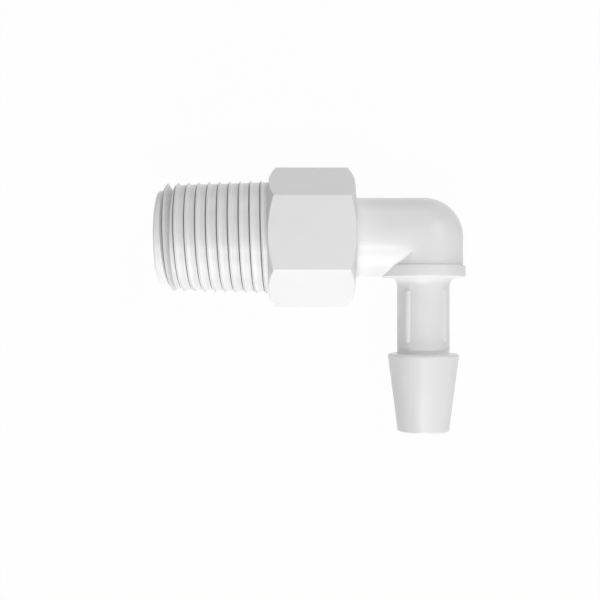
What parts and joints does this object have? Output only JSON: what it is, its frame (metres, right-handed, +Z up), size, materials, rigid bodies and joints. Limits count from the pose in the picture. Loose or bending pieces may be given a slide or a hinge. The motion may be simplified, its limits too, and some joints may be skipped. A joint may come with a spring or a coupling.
{
  "type": "barbed elbow fitting",
  "caption": "Right-angle plastic elbow with a tapered male pipe thread and hexagon on one end and a collared, ribbed hose barb on the other.",
  "frame": {"origin": "on the surface that the fitting lies on, under the middle of its outline", "axes": "+Z up from the flat of the hexagon that it lies on, run along X with the thread's end at -X, barb pointing to -Y"},
  "size_m": [0.0278, 0.0242, 0.0111],
  "materials": {
    "white_plastic": "smooth moulded satin"
  },
  "bodies": {
    "root": {"elbow_fitting": "white_plastic"}
  },
  "joints": []
}
